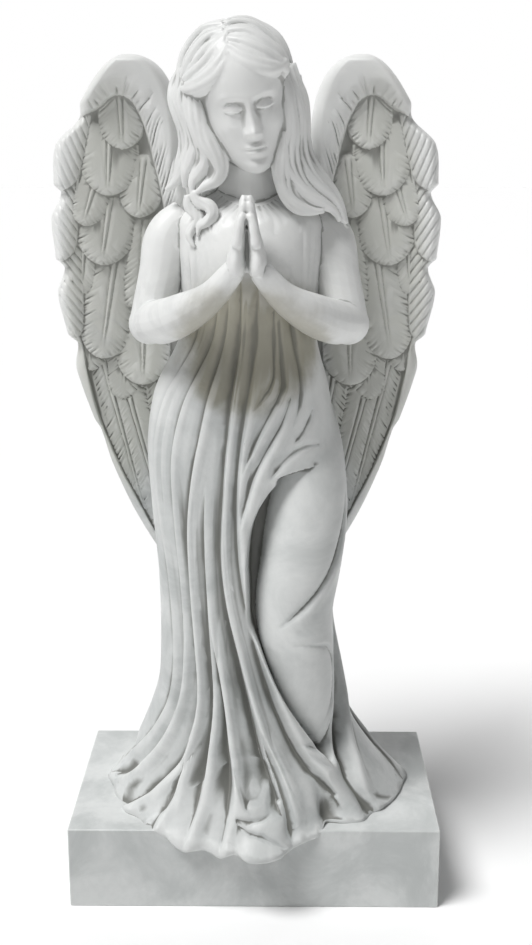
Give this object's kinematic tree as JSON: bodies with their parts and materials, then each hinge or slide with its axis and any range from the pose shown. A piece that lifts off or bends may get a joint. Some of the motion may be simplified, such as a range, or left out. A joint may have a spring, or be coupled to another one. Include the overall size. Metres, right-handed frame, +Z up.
{
  "type": "angel statue",
  "caption": "Praying angel with folded wings and long wavy hair, in a draped gown with one knee forward, carved with its rectangular plinth from pale marble.",
  "frame": {"origin": "centre of the plinth's underside", "axes": "+Z up, -Y out of the figure's front, +X towards the viewer's right"},
  "size_m": [0.6756, 0.4424, 1.4848],
  "materials": {
    "marble": "satin, rubbed smooth, with faint grey veins"
  },
  "bodies": {
    "root": {"angel_statue": "marble"}
  },
  "joints": []
}
